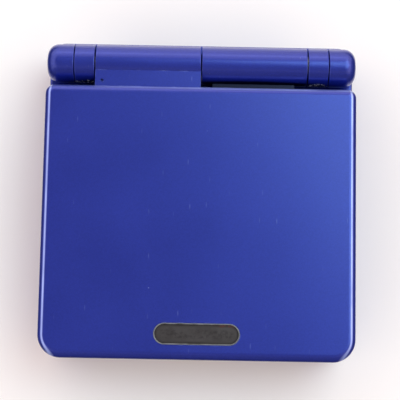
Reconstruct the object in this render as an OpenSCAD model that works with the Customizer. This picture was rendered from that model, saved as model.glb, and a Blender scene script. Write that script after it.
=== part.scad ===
// Clamshell handheld game console, modelled closed as an assembly of separate pieces.
// Millimetres. +X is the right-hand side, +Y the hinge side, +Z up; the origin is on the
// underside, below the middle of the closed console.

/* [Overall] */
// Width of the closed console
body_w = 82; // [80:0.5:100]
// Length of the closed console, from front edge to back of hinge barrel
body_l = 84.6; // [84:0.2:102]
// Thickness of the lid
lid_h = 8.8; // [8.6:0.1:10.6]
// Space between the closed lid and the base
lid_gap = 0.3; // [0.25:0.05:0.5]

/* [Case] */
// Wall thickness of the base shells
wall_t = 1.4; // [1.1:0.1:1.7]
// Thickness of the base's floor
floor_t = 1.3; // [1.1:0.1:1.6]
// How far the base stands in from the lid's outline
base_inset = 0.2; // [0.1:0.1:0.5]
// Plan radius of the two front corners
front_r = 6; // [5:0.5:7.5]
// Plan radius of the base's two back corners
back_r = 4; // [3:0.5:5]
// Radius of the base's bottom edge
bottom_edge_r = 2.4; // [1.5:0.1:2.8]
// Radius of the base's top edge
rim_edge_r = 0.7; // [0.4:0.1:1]
// Height of the seam between the base's two shells
base_seam_z = 8.6; // [8.2:0.1:9]
// Thickness of the key panel
panel_t = 1.3; // [1.1:0.1:1.6]
// Depth of the key panel below the rim
panel_drop = 1.0; // [0.9:0.1:1.2]
// Width of the rim round the key panel
rim_w = 3.2; // [2.6:0.1:4]

/* [Lid] */
// Wall thickness of the lid shells
lid_wall_t = 1.4; // [1.1:0.1:1.7]
// Height of the bezel, up to the lid's seam
bezel_h = 2.9; // [2.7:0.1:3.2]
// Radius of the lid's outer edges
lid_edge_r = 2.0; // [1:0.1:2.3]
// Radius of the bezel's edges, round the face that closes on the base
bezel_edge_r = 0.9; // [0.6:0.1:1.2]
// Plan radius of the lid's two corners beside the hinge
lid_back_r = 2.4; // [2.4:0.1:3]
// Space between the lid's back edge and the hinge barrel
lid_setback = 1.5; // [1.3:0.1:2.5]
// Length of the badge
badge_l = 22.2; // [16:0.1:30]
// Width of the badge
badge_w = 5.5; // [5:0.1:7.5]
// Width of the badge's raised rim
badge_rim = 0.28; // [0.2:0.02:0.6]
// Distance from the badge's middle line to the lid's front edge
badge_front = 6.6; // [5.6:0.1:8]

/* [Screen] */
// Width of the screen lens
lens_w = 69.6; // [66:0.2:70]
// Length of the screen lens
lens_l = 55.6; // [54:0.2:56]
// Thickness of the screen lens
lens_t = 1.0; // [0.8:0.1:1.1]
// Depth of the lens below the bezel's face
lens_recess = 0.6; // [0.5:0.1:0.7]
// Width of the picture
picture_w = 61.2; // [58:0.2:62]
// Length of the picture
picture_l = 40.8; // [38:0.2:42]

/* [Hinge] */
// Radius of the hinge barrel
barrel_r = 5.1; // [4.8:0.1:5.5]
// Wall thickness of the hinge barrel
barrel_wall_t = 1.2; // [1:0.1:1.3]
// Depth of the barrel's top below the lid's top
barrel_drop = 0.4; // [0.2:0.1:0.8]
// Distance from the base's back face to the back of the barrel
barrel_setback = 1.4; // [0.4:0.1:2]
// Radius of the edges where two pieces of the barrel meet
barrel_edge_r = 0.2; // [0.1:0.05:0.4]
// Length of each round end cap
cap_l = 7.4; // [6:0.1:8]
// Radius of an end cap's outer edge
cap_edge_r = 3.1; // [2:0.1:4]
// Seam between an end cap and its knuckle
cap_seam = 0.2; // [0.05:0.05:0.3]
// Length of each of the base's knuckles
knuckle_l = 5.3; // [4.6:0.1:6.4]
// Depth of the neck's flat top below the lid's top
neck_drop = 1; // [0.8:0.1:1.6]
// Radius of the hinge's shaft
shaft_r = 2.0; // [1.8:0.1:2.2]
// Running clearance at the hinge's ends and round its barrel
hinge_gap = 0.3; // [0.25:0.05:0.4]

/* [Keys] */
// Length of the direction pad's arms, tip to tip
dpad_l = 19.2; // [17:0.2:20]
// Width of the direction pad's arms
dpad_arm_w = 6.8; // [6:0.1:7.4]
// Radius of the round action keys
key_r = 4.7; // [4:0.1:5]
// Radius of the small keys
small_key_r = 2.5; // [2:0.1:2.8]
// Height of the keys above the key panel
key_rise = 0.9; // [0.7:0.05:0.9]
// Travel of the keys
key_travel = 0.8; // [0.6:0.1:0.9]

/* [Game card slot] */
// Width of the slot
slot_w = 58.6; // [57:0.2:60]
// Height of the slot
slot_h = 8.0; // [7.6:0.1:9.6]
// Depth of the slot
slot_d = 35; // [33:0.5:36]

/* [Battery] */
// Length of the battery pack
battery_l = 46; // [38:0.5:46]
// Width of the battery pack
battery_w = 27.2; // [22:0.2:27.2]
// Height of the battery pack
battery_h = 6.2; // [5:0.1:6.4]

/* [Hidden] */
$fn = 48;

// Colours
case_blue = "#2f3aa8";
badge_grey = "#6b6866";
key_grey = "#b9bcc4";
dark_plastic = "#26262a";
lens_black = [0.06, 0.06, 0.08, 0.9];
guide_clear = [0.8, 0.9, 0.95, 0.5];
display_grey = "#3c4148";
steel = "#a8abb0";
board_green = "#1f6b45";
rubber_grey = "#5b5d66";
gold = "#c8a04a";
pack_grey = "#3a3d45";
light_white = "#e8e8d8";
pipe_green = [0.7, 0.9, 0.75, 0.8];
socket_cream = "#e6e2d6";

// Clearances and allowances
fit = 0.1;          // between pieces that stay put
seam_r = 0.15;      // radius of the edges that meet at a seam
key_gap = 0.25;     // round a key in its hole
dpad_gap = 0.45;    // round the direction pad, which tilts
screw_play = 0.05;  // between a screw and its hole
ribbon_play = 0.15; // above and below a ribbon in its slot
cut = 1;            // how far a cutter passes its face

// Heights of the base's layers, from the underside up
shield_t = 0.3;
board_t = 0.9;
key_space = key_travel + 1.5;
shield_z = floor_t + slot_h + 0.05;
board_z = shield_z + shield_t + 0.05;
board_top = board_z + board_t;
panel_under = board_top + key_space;
panel_z = panel_under + panel_t;
base_h = panel_z + panel_drop;
key_top = panel_z + key_rise;

// Heights of the lid's layers
lid_z = base_h + lid_gap;
lid_seam_z = lid_z + bezel_h;
body_h = lid_z + lid_h;
lid_ceiling = body_h - lid_wall_t;
lens_z = lid_z + lens_recess;
lens_ledge_t = 0.8;
bezel_plate_z = lens_z + lens_t + lens_ledge_t;
gasket_t = 0.4;
guide_t = 1.0;
panel_glass_t = 1.8;
guide_z = bezel_plate_z + gasket_t;
lcd_z = guide_z + guide_t;
lcd_top = lcd_z + panel_glass_t;
neck_top = body_h - neck_drop;

// Hinge: the lid's barrel lies between two knuckles on the base, which carry the end caps
hinge_y = body_l / 2 - barrel_setback - barrel_r;
hinge_z = body_h - barrel_drop - barrel_r;
cap_x = body_w / 2 - cap_l;
knuckle_x = cap_x - knuckle_l;
barrel_x = knuckle_x - hinge_gap;
mid_gap = hinge_gap / 2;
barrel_bore = barrel_r - barrel_wall_t;
knuckle_bore = 3.0;
bush_r = knuckle_bore - fit;
trough_r = barrel_r + hinge_gap;
clutch_l = 16;
clutch_bore_l = 12;

// Ribbons
ribbon_t = 0.3;
ribbon_x = [9, 21];

// Plan of the lid and the base
base_x = body_w / 2 - base_inset;
base_front = -body_l / 2 + base_inset;
base_back = body_l / 2;
lid_front = -body_l / 2;
lid_back = hinge_y - barrel_r - lid_setback;
lid_mid = (lid_front + lid_back) / 2;
lens_y = lid_mid + 2;
picture_y = lens_y - 3.3;
panel_front = base_front + rim_w;
panel_back = lid_back - 1.5;
panel_mid = (panel_front + panel_back) / 2;
panel_corner_r = 4;

// Display: glass, its tray and the frame of ribs round it
display_size = [66, 45.4];
tray_size = [69.4, 46.8];
tray_top = lcd_top + 0.5;
glass_tab = [60, 1.8, 0.5];

// Screws
screw_r = 0.85;
screw_head_r = 1.75;
screw_head_h = 0.7;
recess_l = 1.9;
recess_w = 0.45;
lid_screw_z = lid_z + 0.9;
lid_screw_in = 4.4;
lid_boss_r = 2.1;
lid_screws_at = [
    [-body_w / 2 + lid_screw_in, lid_front + 4.7], [body_w / 2 - lid_screw_in, lid_front + 4.7],
    [-body_w / 2 + lid_screw_in, lid_back - 4.3], [body_w / 2 - lid_screw_in, lid_back - 4.3],
    [0, lid_front + 4.9]
];
plug_r = 2.4;
column_r = 2.6;
case_screw_z = 4.2;
case_screws_at = [
    [-base_x + 4.4, base_front + 5.5], [base_x - 4.4, base_front + 5.5],
    [-base_x + 3.8, lid_back - 2.9], [base_x - 3.8, lid_back - 2.9], [0, lid_back + 2]
];
board_screw_r = 1.6;
board_screws_at = [
    [-base_x + 7.3, panel_mid - 14.5], [base_x - 7.3, panel_mid - 14.5], [17, lid_back - 0.6]
];

// Keys
dpad_at = [-body_w / 2 + 16.8, panel_mid + 14.2];
key_a_at = [body_w / 2 - 9.6, panel_mid + 17.7];
key_b_at = [body_w / 2 - 21.4, panel_mid + 12];
start_at = [6.6, panel_mid - 23];
select_at = [-6.6, panel_mid - 23];
light_at = [0, panel_mid + 27.4];
key_flange = 0.8;
key_flange_t = 0.6;
key_flange_top = panel_under - 0.15;
key_under = key_flange_top - key_flange_t;
key_edge_r = 0.35;
dpad_corner_r = 1.2;
dpad_flange_r = dpad_l / 2 + 0.8;
dpad_flange_t = 0.5;
dpad_flange_top = panel_under - 0.9;
dish_margin = 1.8;

// Membranes: a sheet on the board with a dome under each key
sheet_t = 0.4;
dome_h = key_under - 0.05 - board_top;
dome_skirt = 0.75;
dpad_dome_at = 6.4;
dpad_dome_r = 2.7;
nub_h = dpad_flange_top - 0.2 - board_top;

// Speaker
speaker_at = [0, panel_mid - 4.5];
speaker_r = 9;
speaker_h = 3.0;

// Side sliders
slider_y = panel_mid + 4.5;
slider_travel = 4;
switch_travel = 3;
slider_l = 4.6;
slider_w = 2.4;
slider_z = board_top + 0.9;
slider_scoop = 0.9;
slider_stem = [2.4, 1.0];
control_w = 3.4;

// Status lights and the pipes that carry them to the side wall
light_pipe_y = [lid_back - 8.2, lid_back - 12.2];
pipe_size = [4.4, 2.2, 1.2];
pipe_z = panel_under - 1.5;
status_light_w = 1.6;

// Slot and battery
slot_back = -body_l / 2 + slot_d;
connector_d = 4.7;
pin_count = 32;
pin_pitch = 1.5;
battery_play = 0.4;
bay_front = slot_back + connector_d + 2.2;
bay_back = bay_front + battery_w + 2 * battery_play - 0.2;
bay_left = -body_w / 2 + 9.4;
bay_right = bay_left + battery_l + 2 * battery_play - 0.2;
bay_wall_h = battery_h + 0.8;
rib_t = 1.0;
cover_rim = 1.5;
cover_lip_t = 0.7;
cover_screw_at = [bay_right + 3.1, (bay_front + bay_back) / 2];
cover_end = cover_screw_at[0] + 3.2;
contact_pitch = 2.6;
contact_w = 1.2;

// Back sockets, with the middle of each along X
link_x = -9;
link_size = [11.2, 8, 4.6];
power_x = 9.5;
power_size = [8.4, 8, 4.2];
socket_wall = 0.45;

// Triggers at the back corners
trigger_in = 23.2;
trigger_out = body_w / 2 - 2.5;
trigger_z = 3.6;
trigger_top = 11.8;
trigger_gap = 0.2;
trigger_edge_r = 0.4;
trigger_end_r = 1;
trigger_boss_r = 1.75;
trigger_at = [trigger_in + 1.8, base_back - 2.7];
trigger_reach = trigger_at[1] - 0.8;
trigger_angle = 5;
pin_r = 0.8;
back_ceiling = hinge_z - barrel_r - hinge_gap - 1.4;
back_shelf = hinge_y - 4.2;
switch_x = body_w / 2 - 8.2;
plunger_tip = back_shelf + 1.7;
rib_tip = plunger_tip + 0.15 + (switch_x - trigger_at[0]) * sin(trigger_angle);

// Trigger springs
coil_wire_r = 0.2;
coil_turns = 4;
coil_steps = 16;
coil_pitch = 0.5;
coil_r = pin_r + 0.45;
coil_z = trigger_z + 3;
spring_arm = 6;

// ---- Shared shapes ----

// Points along an arc of radius r about [x, y], from angle a to angle b
function arc(x, y, r, a, b, n) =
    [for (i = [0:n]) let (t = a + (b - a) * i / n) [x + r * cos(t), y + r * sin(t)]];

// Section through the outer part of a slab, reach wide, with its lower and upper edges rounded
module edge_section(reach, z0, z1, e0, e1) {
    difference() {
        translate([0, z0]) square([reach, z1 - z0]);
        translate([reach - e1, z1 - e1]) square(2 * e1);
        translate([reach - e0, z0 - e0]) square(2 * e0);
    }
    intersection() {
        translate([reach - e1, z1 - e1]) circle(e1);
        translate([reach - e1, z1 - e1]) square(e1);
    }
    intersection() {
        translate([reach - e0, z0 + e0]) circle(e0);
        translate([reach - e0, z0]) square(e0);
    }
}

// A slab with rounded corners and edges, hx each side of the middle and from y0 to y1:
// four revolved corners, four straight edges and the block between them
module rounded_slab(hx, y0, y1, z0, z1, rf, rb, e0, e1) {
    length = y1 - rb - y0 - rf;
    for (s = [0, 1]) mirror([s, 0, 0]) {
        translate([hx - rf, y0 + rf, 0]) rotate([0, 0, -90])
            rotate_extrude(angle = 90) edge_section(rf, z0, z1, e0, e1);
        translate([hx - rb, y1 - rb, 0])
            rotate_extrude(angle = 90) edge_section(rb, z0, z1, e0, e1);
        translate([hx - rf, y1 - rb, 0]) rotate([90, 0, 0])
            linear_extrude(length) edge_section(rf, z0, z1, e0, e1);
    }
    translate([rf - hx, y0 + rf, 0]) rotate([90, 0, 90])
        linear_extrude(2 * (hx - rf)) mirror([1, 0]) edge_section(rf, z0, z1, e0, e1);
    translate([rb - hx, y1 - rb, 0]) rotate([90, 0, 90])
        linear_extrude(2 * (hx - rb)) edge_section(rb, z0, z1, e0, e1);
    translate([rf - hx, y0 + rf, z0]) cube([2 * (hx - rf), length, z1 - z0]);
}

// Outline of a slab, with exact round corners
module plan(hx, y0, y1, rf, rb) {
    translate([-hx, y0 + rf]) square([2 * hx, y1 - rb - y0 - rf]);
    translate([-hx + rf, y0]) square([2 * (hx - rf), 2 * rf]);
    translate([-hx + rb, y1 - 2 * rb]) square([2 * (hx - rb), 2 * rb]);
    for (s = [-1, 1]) {
        translate([s * (hx - rf), y0 + rf]) circle(rf);
        translate([s * (hx - rb), y1 - rb]) circle(rb);
    }
}

module round_rect(w, l, r) {
    square([w, l - 2 * r], center = true);
    square([w - 2 * r, l], center = true);
    for (x = [-1, 1], y = [-1, 1]) translate([x * (w / 2 - r), y * (l / 2 - r)]) circle(r);
}

module stadium(l, w) {
    square([l - w, w], center = true);
    for (s = [-1, 1]) translate([s * (l - w) / 2, 0]) circle(w / 2);
}

// A cross of two bars, for a screw's recess
module cross_recess() {
    for (a = [0, 90]) rotate([0, 0, a]) square([recess_l, recess_w], center = true);
}

module base_plan(inset) {
    plan(base_x - inset, base_front + inset, base_back - inset, front_r - inset, back_r - inset);
}

module lid_plan(inset) {
    plan(body_w / 2 - inset, lid_front + inset, lid_back - inset,
        front_r - inset, max(lid_back_r - inset, 0.4));
}

// A box between two corners
module box(low, high) {
    translate(low) cube(high - low);
}

// A cylinder along X on the hinge axis
module on_axis(x0, x1, r) {
    translate([x0, hinge_y, hinge_z]) rotate([0, 90, 0]) cylinder(r = r, h = x1 - x0);
}

// A piece of the barrel along X, with its two end edges rounded
module barrel_piece(x0, x1, e0, e1) {
    translate([x0, hinge_y, hinge_z]) rotate([0, 90, 0])
        rotate_extrude() edge_section(barrel_r, 0, x1 - x0, e0, e1);
}

// Extrudes an outline drawn in [Y, Z] about the hinge axis along X
module along_x(x0, x1) {
    translate([x0, hinge_y, hinge_z]) rotate([90, 0, 90]) linear_extrude(x1 - x0) children();
}

// A cylinder that stands at a place in the plan
module hole(at, z0, z1, r) {
    translate([at[0], at[1], z0]) cylinder(r = r, h = z1 - z0);
}

// A pan-head screw with a cross recess; its head is at z and its shank points up
module screw(at, z, l) {
    translate([at[0], at[1], z]) difference() {
        union() {
            cylinder(r = screw_head_r, h = screw_head_h);
            cylinder(r = screw_r, h = screw_head_h + l);
        }
        translate([0, 0, -cut]) linear_extrude(cut + 0.4) cross_recess();
    }
}

// Mirrors its children to the left side for s = -1
module side(s) {
    mirror([s < 0 ? 1 : 0, 0, 0]) children();
}

// ---- Lid ----

// The clutch's outline across the hinge axis: round, with a flat that stops it turning
module clutch_outline(play) {
    flat = barrel_bore - 0.7 + play;
    intersection() {
        circle(barrel_bore - fit + play);
        translate([-2 * barrel_r, -2 * barrel_r]) square([4 * barrel_r, 2 * barrel_r + flat]);
    }
}

// Way of the display's ribbon from the lid into the barrel
module ribbon_slot() {
    half_h = ribbon_t / 2 + ribbon_play;
    box([ribbon_x[0], lid_back - 2 * lid_wall_t, hinge_z - half_h],
        [ribbon_x[1], hinge_y - barrel_bore + cut, hinge_z + half_h]);
}

module lid_outer_shell() {
    bore_end = -barrel_x + clutch_l + 1;
    pin_mark_at = [-barrel_x + 1.8, lid_back + 1.2];
    color(case_blue) difference() {
        union() {
            difference() {
                rounded_slab(body_w / 2, lid_front, lid_back, lid_seam_z, body_h,
                    front_r, lid_back_r, seam_r, lid_edge_r);
                translate([0, 0, lid_seam_z - cut])
                    linear_extrude(lid_ceiling - lid_seam_z + cut) lid_plan(lid_wall_t);
            }
            for (p = lid_screws_at) hole(p, bezel_plate_z + fit, lid_ceiling + 0.3, lid_boss_r);
            barrel_piece(-barrel_x, -mid_gap, barrel_edge_r, barrel_edge_r);
            box([-barrel_x, lid_back - 0.6, lid_seam_z],
                [-mid_gap, hinge_y - 0.5 * barrel_r, neck_top]);
            display_ribs();
        }
        // Bore for the clutch, with a thick end by the middle seam
        along_x(-barrel_x - cut, bore_end) clutch_outline(fit);
        on_axis(bore_end - cut, -mid_gap - 2, barrel_bore - 0.6);
        for (p = lid_screws_at)
            hole(p, bezel_plate_z, lid_ceiling - 0.6, screw_r + screw_play);
        translate([0, lid_front + badge_front, body_h - 0.6])
            linear_extrude(cut) stadium(badge_l + fit, badge_w + fit);
        // Moulding mark on the neck
        hole(pin_mark_at, neck_top - 0.8, neck_top + cut, 0.45);
        ribbon_slot();
        barrel_tongue(fit);
    }
}

// Ribs inside the lid that locate the display
module display_ribs() {
    rib_y = 23.6;
    rib_x = 35.2;
    difference() {
        for (s = [-1, 1]) {
            box([-20, picture_y + s * rib_y - 0.5, lcd_top + 0.9],
                [20, picture_y + s * rib_y + 0.5, lid_ceiling + 0.2]);
            box([s * rib_x - 0.4, picture_y - 14, lcd_top - 1],
                [s * rib_x + 0.4, picture_y + 14, lid_ceiling + 0.2]);
        }
        box([-19, picture_y - 21, lcd_top], [19, picture_y + 21, lid_ceiling]);
    }
}

// Nameplate: a flat plate in a raised rim, with a plain field
module lid_badge() {
    plate_t = 0.42;
    rim_t = 0.6;
    color(badge_grey) translate([0, lid_front + badge_front, body_h - 0.55]) difference() {
        linear_extrude(rim_t) stadium(badge_l, badge_w);
        translate([0, 0, plate_t])
            linear_extrude(cut) stadium(badge_l - 2 * badge_rim, badge_w - 2 * badge_rim);
    }
}

// Tongue of the barrel's cover, clamped between the lid's shells; the ribbon runs through it
module barrel_tongue(play) {
    box([3 - play, lid_back - 2.4 - play, lid_seam_z - 1.8 - play],
        [barrel_x - 3.2 + play, hinge_y - barrel_bore - 0.2, hinge_z + 1 + play]);
}

module lid_bezel() {
    screw_boss_r = 2.6;
    window_margin = 0.8;
    color(case_blue) difference() {
        rounded_slab(body_w / 2, lid_front, lid_back, lid_z, lid_seam_z,
            front_r, lid_back_r, bezel_edge_r, seam_r);
        difference() {
            translate([0, 0, bezel_plate_z]) linear_extrude(bezel_h) lid_plan(lid_wall_t);
            for (p = lid_screws_at) hole(p, bezel_plate_z - cut, bezel_plate_z, screw_boss_r);
        }
        translate([0, lens_y, lid_z - cut]) linear_extrude(cut + lens_recess + lens_t)
            round_rect(lens_w + 2 * fit, lens_l + 2 * fit, 4);
        translate([0, picture_y, lid_z]) linear_extrude(2 * bezel_h)
            round_rect(picture_w + 2 * window_margin, picture_l + 2 * window_margin, 1);
        for (p = lid_screws_at) {
            hole(p, lid_z - cut, lid_screw_z, plug_r + fit);
            hole(p, lid_z, lid_screw_z + screw_head_h, screw_head_r + fit);
            hole(p, lid_z, lid_seam_z, screw_r + 0.2);
        }
        barrel_tongue(fit);
        ribbon_slot();
    }
}

module screen_lens() {
    color(lens_black) translate([0, lens_y, lens_z])
        linear_extrude(lens_t) round_rect(lens_w, lens_l, 4 - fit);
}

module screen_gasket() {
    color(dark_plastic) translate([0, picture_y, bezel_plate_z]) linear_extrude(gasket_t)
        difference() {
            round_rect(picture_w + 5, picture_l + 4.4, 1);
            round_rect(picture_w + 1.6, picture_l + 1.6, 0.6);
        }
}

module light_guide() {
    color(guide_clear) translate([0, picture_y, guide_z])
        linear_extrude(guide_t) square(display_size, center = true);
}

module lcd_panel() {
    color(display_grey) translate([0, picture_y, lcd_z]) {
        linear_extrude(panel_glass_t) square(display_size, center = true);
        translate([-glass_tab[0] / 2, display_size[1] / 2, 0.6]) cube(glass_tab);
    }
}

// Metal tray that carries the light guide and the display, open on the side to be looked at
module lcd_holder() {
    color(steel) difference() {
        translate([0, picture_y, bezel_plate_z + fit])
            linear_extrude(tray_top - bezel_plate_z - fit) round_rect(tray_size[0], tray_size[1], 0.8);
        translate([0, picture_y, bezel_plate_z]) linear_extrude(lcd_top - bezel_plate_z + 0.05)
            square(display_size + 2 * [fit, fit], center = true);
        translate([-glass_tab[0] / 2 - fit, picture_y + 20, lcd_z + 0.5])
            cube([glass_tab[0] + 2 * fit, 5, glass_tab[2] + 2 * fit]);
        // Two large windows in the tray's back, and a notch for the ribbon
        for (s = [-1, 1]) translate([s * 16, picture_y, lcd_top - cut])
            linear_extrude(3) round_rect(24, 34, 3);
        box([ribbon_x[0] - 0.3, picture_y + 22, lcd_top - 1.2],
            [ribbon_x[1] + 0.3, picture_y + 25, lcd_top + 1]);
    }
}

module lid_screws() {
    length = lid_ceiling - 0.9 - (lid_screw_z + screw_head_h);
    color(steel) for (p = lid_screws_at) screw(p, lid_screw_z, length);
}

// Rubber plugs over the lid's screws, which also cushion the lid as it closes
module lid_screw_plugs() {
    thick = 0.92;
    stand_out = 0.12;
    color(rubber_grey) for (p = lid_screws_at) translate([p[0], p[1], lid_z - stand_out])
        rotate_extrude()
            polygon([[0, 0], [plug_r - 0.3, 0], [plug_r, 0.25], [plug_r, thick], [0, thick]]);
}

// Right-hand half of the barrel: a sleeve round the ribbon, on a tongue clamped in the lid
module hinge_barrel_cover() {
    end_wall = 2;
    color(case_blue) difference() {
        union() {
            barrel_piece(mid_gap, barrel_x, barrel_edge_r, barrel_edge_r);
            barrel_tongue(0);
        }
        on_axis(mid_gap + barrel_wall_t, barrel_x - end_wall, barrel_bore);
        on_axis(barrel_x - end_wall - cut, barrel_x + cut, bush_r + screw_play);
        ribbon_slot();
    }
}

// Click clutch: a ringed steel body keyed in the barrel, with a bore for the shaft
module hinge_clutch() {
    ring_pitch = 4;
    groove_w = 1;
    color(steel) difference() {
        along_x(-barrel_x + 0.4, -barrel_x + clutch_l) clutch_outline(0);
        on_axis(-barrel_x - cut, -barrel_x + clutch_bore_l, shaft_r + screw_play);
        for (i = [0:2]) {
            x = -barrel_x + 3 + ring_pitch * i;
            difference() {
                on_axis(x, x + groove_w, barrel_r);
                on_axis(x - cut, x + groove_w + cut, barrel_bore - 0.5);
            }
        }
    }
}

// Thin ribbon: across the lid's wall and one turn and a half inside the barrel
module display_ribbon() {
    turns = 1.5;
    steps = 36;
    tightening = 1.3;
    r_out = barrel_bore - 0.35;
    x0 = ribbon_x[0] + 0.5;
    x1 = ribbon_x[1] - 0.5;
    fold_y = lid_back - 5;
    function spiral(r) = [for (i = [0:steps])
        let (a = 180 - 360 * turns * i / steps, q = r - tightening * i / steps)
        [q * cos(a), q * sin(a)]];
    outer = spiral(r_out);
    inner = spiral(r_out - ribbon_t);
    color(gold) {
        along_x(x0, x1) polygon(concat(outer, [for (i = [steps:-1:0]) inner[i]]));
        box([x0, fold_y, hinge_z - ribbon_t / 2],
            [x1, hinge_y - r_out + ribbon_t / 2, hinge_z + ribbon_t / 2]);
        box([x0, fold_y, hinge_z - ribbon_t / 2], [x1, fold_y + ribbon_t, lcd_top]);
        box([x0, picture_y + 23, lcd_top - ribbon_t], [x1, fold_y + ribbon_t, lcd_top]);
    }
}

// ---- Base shells ----

// Column of a case screw, from the floor to the seam
module screw_column(p) {
    hole(p, floor_t - 0.2, base_seam_z - 0.05, column_r);
}

module trigger_pocket(s, z0, z1) {
    side(s) box([trigger_in - 0.3, trigger_at[1] - 2.6, z0], [trigger_out + 0.5, body_l, z1]);
}

// Finger scoop of each side slider, and the slot for its stem
module slider_scoops() {
    half_l = slider_travel + slider_stem[0] / 2 + key_gap;
    half_h = slider_stem[1] / 2 + 0.2;
    for (s = [-1, 1]) side(s) {
        translate([base_x - slider_scoop, slider_y, slider_z]) rotate([0, 90, 0])
            linear_extrude(5) rotate([0, 0, 90]) stadium(slider_l + 2 * slider_travel + 3, 3.2);
        box([base_x - 3, slider_y - half_l, slider_z - half_h],
            [base_x, slider_y + half_l, slider_z + half_h]);
    }
}

module socket_windows() {
    for (k = [[link_x, link_size], [power_x, power_size]])
        box([k[0] - k[1][0] / 2 - fit, base_back - 4, board_z - k[1][2] - fit],
            [k[0] + k[1][0] / 2 + fit, body_l, board_z + fit]);
}

// Windows in the side wall for the light pipes
module pipe_windows() {
    for (y = light_pipe_y)
        box([base_x - 3, y - (pipe_size[1] + fit) / 2, pipe_z - fit / 2],
            [body_w, y + (pipe_size[1] + fit) / 2, pipe_z + pipe_size[2] + fit / 2]);
}

// Speaker grille: straight slots whose lengths follow a circle
module speaker_slots() {
    rows = 6;
    pitch = 2.1;
    slot = 1.0;
    reach = speaker_r - 1.6;
    for (i = [0:rows - 1]) {
        y = (i - (rows - 1) / 2) * pitch;
        translate([speaker_at[0], speaker_at[1] + y, panel_under - cut])
            linear_extrude(4) stadium(2 * sqrt(reach * reach - y * y), slot);
    }
}

module dpad_outline(play) {
    w = dpad_arm_w + 2 * play;
    l = dpad_l + 2 * play;
    round_rect(l, w, dpad_corner_r);
    round_rect(w, l, dpad_corner_r);
}

// Shallow dish that ties the two action keys together
module key_dish() {
    d = key_a_at - key_b_at;
    middle = (key_a_at + key_b_at) / 2;
    w = 2 * (key_r + dish_margin);
    translate([middle[0], middle[1], panel_z - 0.3])
        rotate([0, 0, atan2(d[1], d[0])]) linear_extrude(cut) stadium(norm(d) + w, w);
}

// The key panel's openings, with a dish round the direction pad and round the action keys
module key_openings() {
    translate([dpad_at[0], dpad_at[1], panel_under - cut]) linear_extrude(4) dpad_outline(dpad_gap);
    hole(dpad_at, panel_z - 0.35, base_h, dpad_l / 2 + 1.6);
    for (p = [key_a_at, key_b_at]) hole(p, panel_under - cut, base_h, key_r + key_gap);
    for (p = [start_at, select_at, light_at])
        hole(p, panel_under - cut, base_h, small_key_r + key_gap);
    key_dish();
}

// The base's rim, walls and back block, hollow below the key panel
module top_shell_body() {
    hollow_h = panel_under - base_seam_z + cut;
    difference() {
        rounded_slab(base_x, base_front, base_back, base_seam_z, base_h,
            front_r, back_r, seam_r, rim_edge_r);
        translate([0, 0, base_seam_z - cut]) linear_extrude(hollow_h) intersection() {
            base_plan(wall_t);
            translate([-body_w, back_shelf - 2 * body_l]) square([2 * body_w, 2 * body_l]);
        }
        translate([0, 0, base_seam_z - cut])
            linear_extrude(back_ceiling - base_seam_z + cut) intersection() {
                base_plan(wall_t);
                translate([-body_w, back_shelf - cut]) square([2 * body_w, 2 * body_l]);
            }
    }
}

// Web inside each knuckle that ties it to the base, however high the hinge stands
module knuckle_foot() {
    half_w = barrel_r - 1.7;
    box([knuckle_x + barrel_edge_r, hinge_y - half_w, back_ceiling + 1.2],
        [cap_x - barrel_edge_r, hinge_y + half_w, hinge_z]);
}

module base_top_shell() {
    color(case_blue) difference() {
        union() {
            top_shell_body();
            for (s = [-1, 1]) side(s) {
                barrel_piece(knuckle_x, cap_x, barrel_edge_r, barrel_edge_r);
                knuckle_foot();
                // Socket for the top of the trigger's pin
                hole(trigger_at, back_ceiling - 0.05, back_ceiling + 0.6, 2);
            }
            for (p = case_screws_at) hole(p, base_seam_z, panel_under + 0.3, column_r);
            for (p = board_screws_at) hole(p, board_top, panel_under + 0.3, board_screw_r);
            // Collar that locates the speaker
            translate([speaker_at[0], speaker_at[1], panel_under - 1]) linear_extrude(1.2)
                difference() {
                    circle(speaker_r + 0.9);
                    circle(speaker_r + fit);
                }
        }
        // Key panel
        translate([0, 0, panel_z]) linear_extrude(2 * panel_drop)
            plan(base_x - rim_w, panel_front, panel_back, panel_corner_r, panel_corner_r);
        key_openings();
        speaker_slots();
        // Trough for the lid's barrel, and seats for the end caps
        on_axis(-knuckle_x, knuckle_x, trough_r);
        for (s = [-1, 1]) side(s) {
            on_axis(cap_x, body_w, barrel_r + fit);
            on_axis(knuckle_x - cut, cap_x + cut, knuckle_bore);
            hole(trigger_at, back_ceiling - cut, back_ceiling + 0.9, pin_r + screw_play);
        }
        // Case and board screws
        for (p = case_screws_at)
            hole(p, base_seam_z - cut, panel_under - 0.7, screw_r + screw_play);
        for (p = board_screws_at)
            hole(p, board_top - cut, panel_under - 0.2, screw_r + screw_play);
        // Openings in the walls
        box([-slot_w / 2, base_front - cut, base_seam_z - cut],
            [slot_w / 2, base_front + 2 * wall_t, floor_t + slot_h]);
        for (s = [-1, 1]) trigger_pocket(s, base_seam_z - cut, trigger_top + trigger_gap);
        slider_scoops();
        socket_windows();
        pipe_windows();
        // Way down for the ribbon
        box([cap_x - 2.4, hinge_y - 0.6, board_top], [cap_x - 0.3, hinge_y + 0.6, hinge_z]);
    }
}

// The base's floor and walls, with the floor thicker along the rounded bottom edge
module bottom_shell_body() {
    difference() {
        rounded_slab(base_x, base_front, base_back, 0, base_seam_z,
            front_r, back_r, bottom_edge_r, seam_r);
        translate([0, 0, floor_t]) linear_extrude(base_seam_z) base_plan(max(wall_t, 1.2));
    }
    translate([0, 0, floor_t - 0.1]) linear_extrude(1.2) difference() {
        base_plan(wall_t - 0.2);
        base_plan(wall_t + 1.2);
    }
}

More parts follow.
